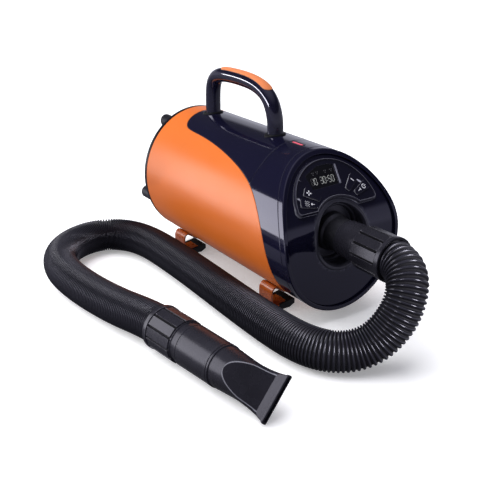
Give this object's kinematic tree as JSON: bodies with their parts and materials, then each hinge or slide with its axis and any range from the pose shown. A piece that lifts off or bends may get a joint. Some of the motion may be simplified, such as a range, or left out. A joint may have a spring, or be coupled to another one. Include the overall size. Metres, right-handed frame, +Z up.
{
  "type": "pet dryer",
  "caption": "Portable pet dryer: an oval blower on bracket feet with a carry handle, a key panel, a ribbed air hose and a flat nozzle that turns and pulls off.",
  "frame": {"origin": "on the floor under the middle of the dryer, without its hose", "axes": "+Z up, -Y towards the outlet and keypad, +X to the right seen from the front"},
  "size_m": [0.3655, 0.5477, 0.2797],
  "materials": {
    "orange_gloss": "glossy orange moulding",
    "navy_gloss": "high gloss dark navy moulding",
    "black_gloss": "glossy black moulding",
    "black_plastic": "fine matte black",
    "dark_window": "smoked window",
    "display": "pale digits on a dark module",
    "board": "solder mask",
    "key_plastic": "satin keys with pale marks",
    "orange_soft": "soft-touch orange",
    "red_lens": "clear red lens",
    "black_rubber": "matte rubber",
    "orange_steel": "powder-coated bent strip",
    "screw_steel": "zinc-plated",
    "foam": "open-cell foam",
    "sheet_steel": "galvanised sheet",
    "stack_steel": "ground steel",
    "cast_aluminium": "cast",
    "brass_part": "plain brass",
    "mica": "mica board",
    "charcoal_plastic": "satin charcoal moulding",
    "hose_plastic": "flexible ribbed hose"
  },
  "bodies": {
    "housing": {"main_shell": "orange_gloss", "top_cover": "navy_gloss", "front_housing": "navy_gloss", "front_trim_ring": "black_gloss", "face_plate": "navy_gloss", "outlet_spigot": "black_plastic", "panel_bezel": "black_gloss", "display_window": "dark_window", "display_module": "display", "control_board": "board", "handle": "navy_gloss", "handle_grip": "orange_soft", "handle_gasket_front": "black_rubber", "handle_gasket_rear": "black_rubber", "handle_screws": "screw_steel", "indicator_bezel": "black_plastic", "indicator_lens": "red_lens", "foot_front_left": "orange_steel", "foot_front_right": "orange_steel", "foot_rear_left": "orange_steel", "foot_rear_right": "orange_steel", "boot_front_left": "black_rubber", "boot_front_right": "black_rubber", "boot_rear_left": "black_rubber", "boot_rear_right": "black_rubber", "foot_screws": "screw_steel", "rear_cover": "black_gloss", "rear_cover_screws": "screw_steel", "rear_posts": "black_plastic", "power_inlet": "black_plastic", "rear_bulkhead": "black_plastic", "motor_ring": "black_rubber", "fan_casing": "sheet_steel", "motor_frame": "sheet_steel", "stator": "stack_steel", "front_bearing": "stack_steel", "rear_bearing": "stack_steel", "brush_holders": "brass_part", "front_bulkhead": "black_plastic", "motor_cup": "black_rubber", "heater_tube": "sheet_steel", "heater_frame": "mica", "heater_windings": "brass_part", "thermal_cutout": "sheet_steel", "power_board": "board", "hose_cuff": "charcoal_plastic", "hose": "hose_plastic", "nozzle_cuff": "charcoal_plastic"},
    "fan_key": {"key_fan": "key_plastic"},
    "heat_key": {"key_heat": "key_plastic"},
    "minus_key": {"key_minus": "key_plastic"},
    "power_key": {"key_power": "key_plastic"},
    "blower_wheel": {"rotor": "stack_steel", "impeller": "cast_aluminium"},
    "filter_unit": {"filter_cap": "black_plastic", "filter_foam": "foam"},
    "sleeve": {"connector_sleeve": "charcoal_plastic"},
    "nozzle": {"flat_nozzle": "charcoal_plastic"}
  },
  "joints": [
    {"name": "fan_key_press", "type": "slide", "parent": "housing", "child": "fan_key", "axis": [0, 0.7847, -0.6199], "range_m": [0, 0.0008], "stiffness_N_per_m": 900, "springref_m": -0.0005},
    {"name": "heat_key_press", "type": "slide", "parent": "housing", "child": "heat_key", "axis": [0, 0.7847, -0.6199], "range_m": [0, 0.0008], "stiffness_N_per_m": 900, "springref_m": -0.0005},
    {"name": "minus_key_press", "type": "slide", "parent": "housing", "child": "minus_key", "axis": [0, 0.7847, -0.6199], "range_m": [0, 0.0008], "stiffness_N_per_m": 900, "springref_m": -0.0005},
    {"name": "power_key_press", "type": "slide", "parent": "housing", "child": "power_key", "axis": [0, 0.7847, -0.6199], "range_m": [0, 0.0008], "stiffness_N_per_m": 900, "springref_m": -0.0005},
    {"name": "blower_spin", "type": "hinge", "parent": "housing", "child": "blower_wheel", "pos_m": [0, 0.05, 0.112], "axis": [0, 1, 0], "continuous": true},
    {"name": "filter_pull", "type": "slide", "parent": "housing", "child": "filter_unit", "axis": [0, 1, 0], "range_m": [0, 0.025]},
    {"name": "sleeve_swivel", "type": "hinge", "parent": "housing", "child": "sleeve", "pos_m": [-0.21498, -0.16455, 0.02772], "axis": [0.1253, -0.992, -0.0157], "continuous": true},
    {"name": "nozzle_pull", "type": "slide", "parent": "sleeve", "child": "nozzle", "axis": [0.1253, -0.992, -0.0157], "range_m": [0, 0.025]}
  ]
}
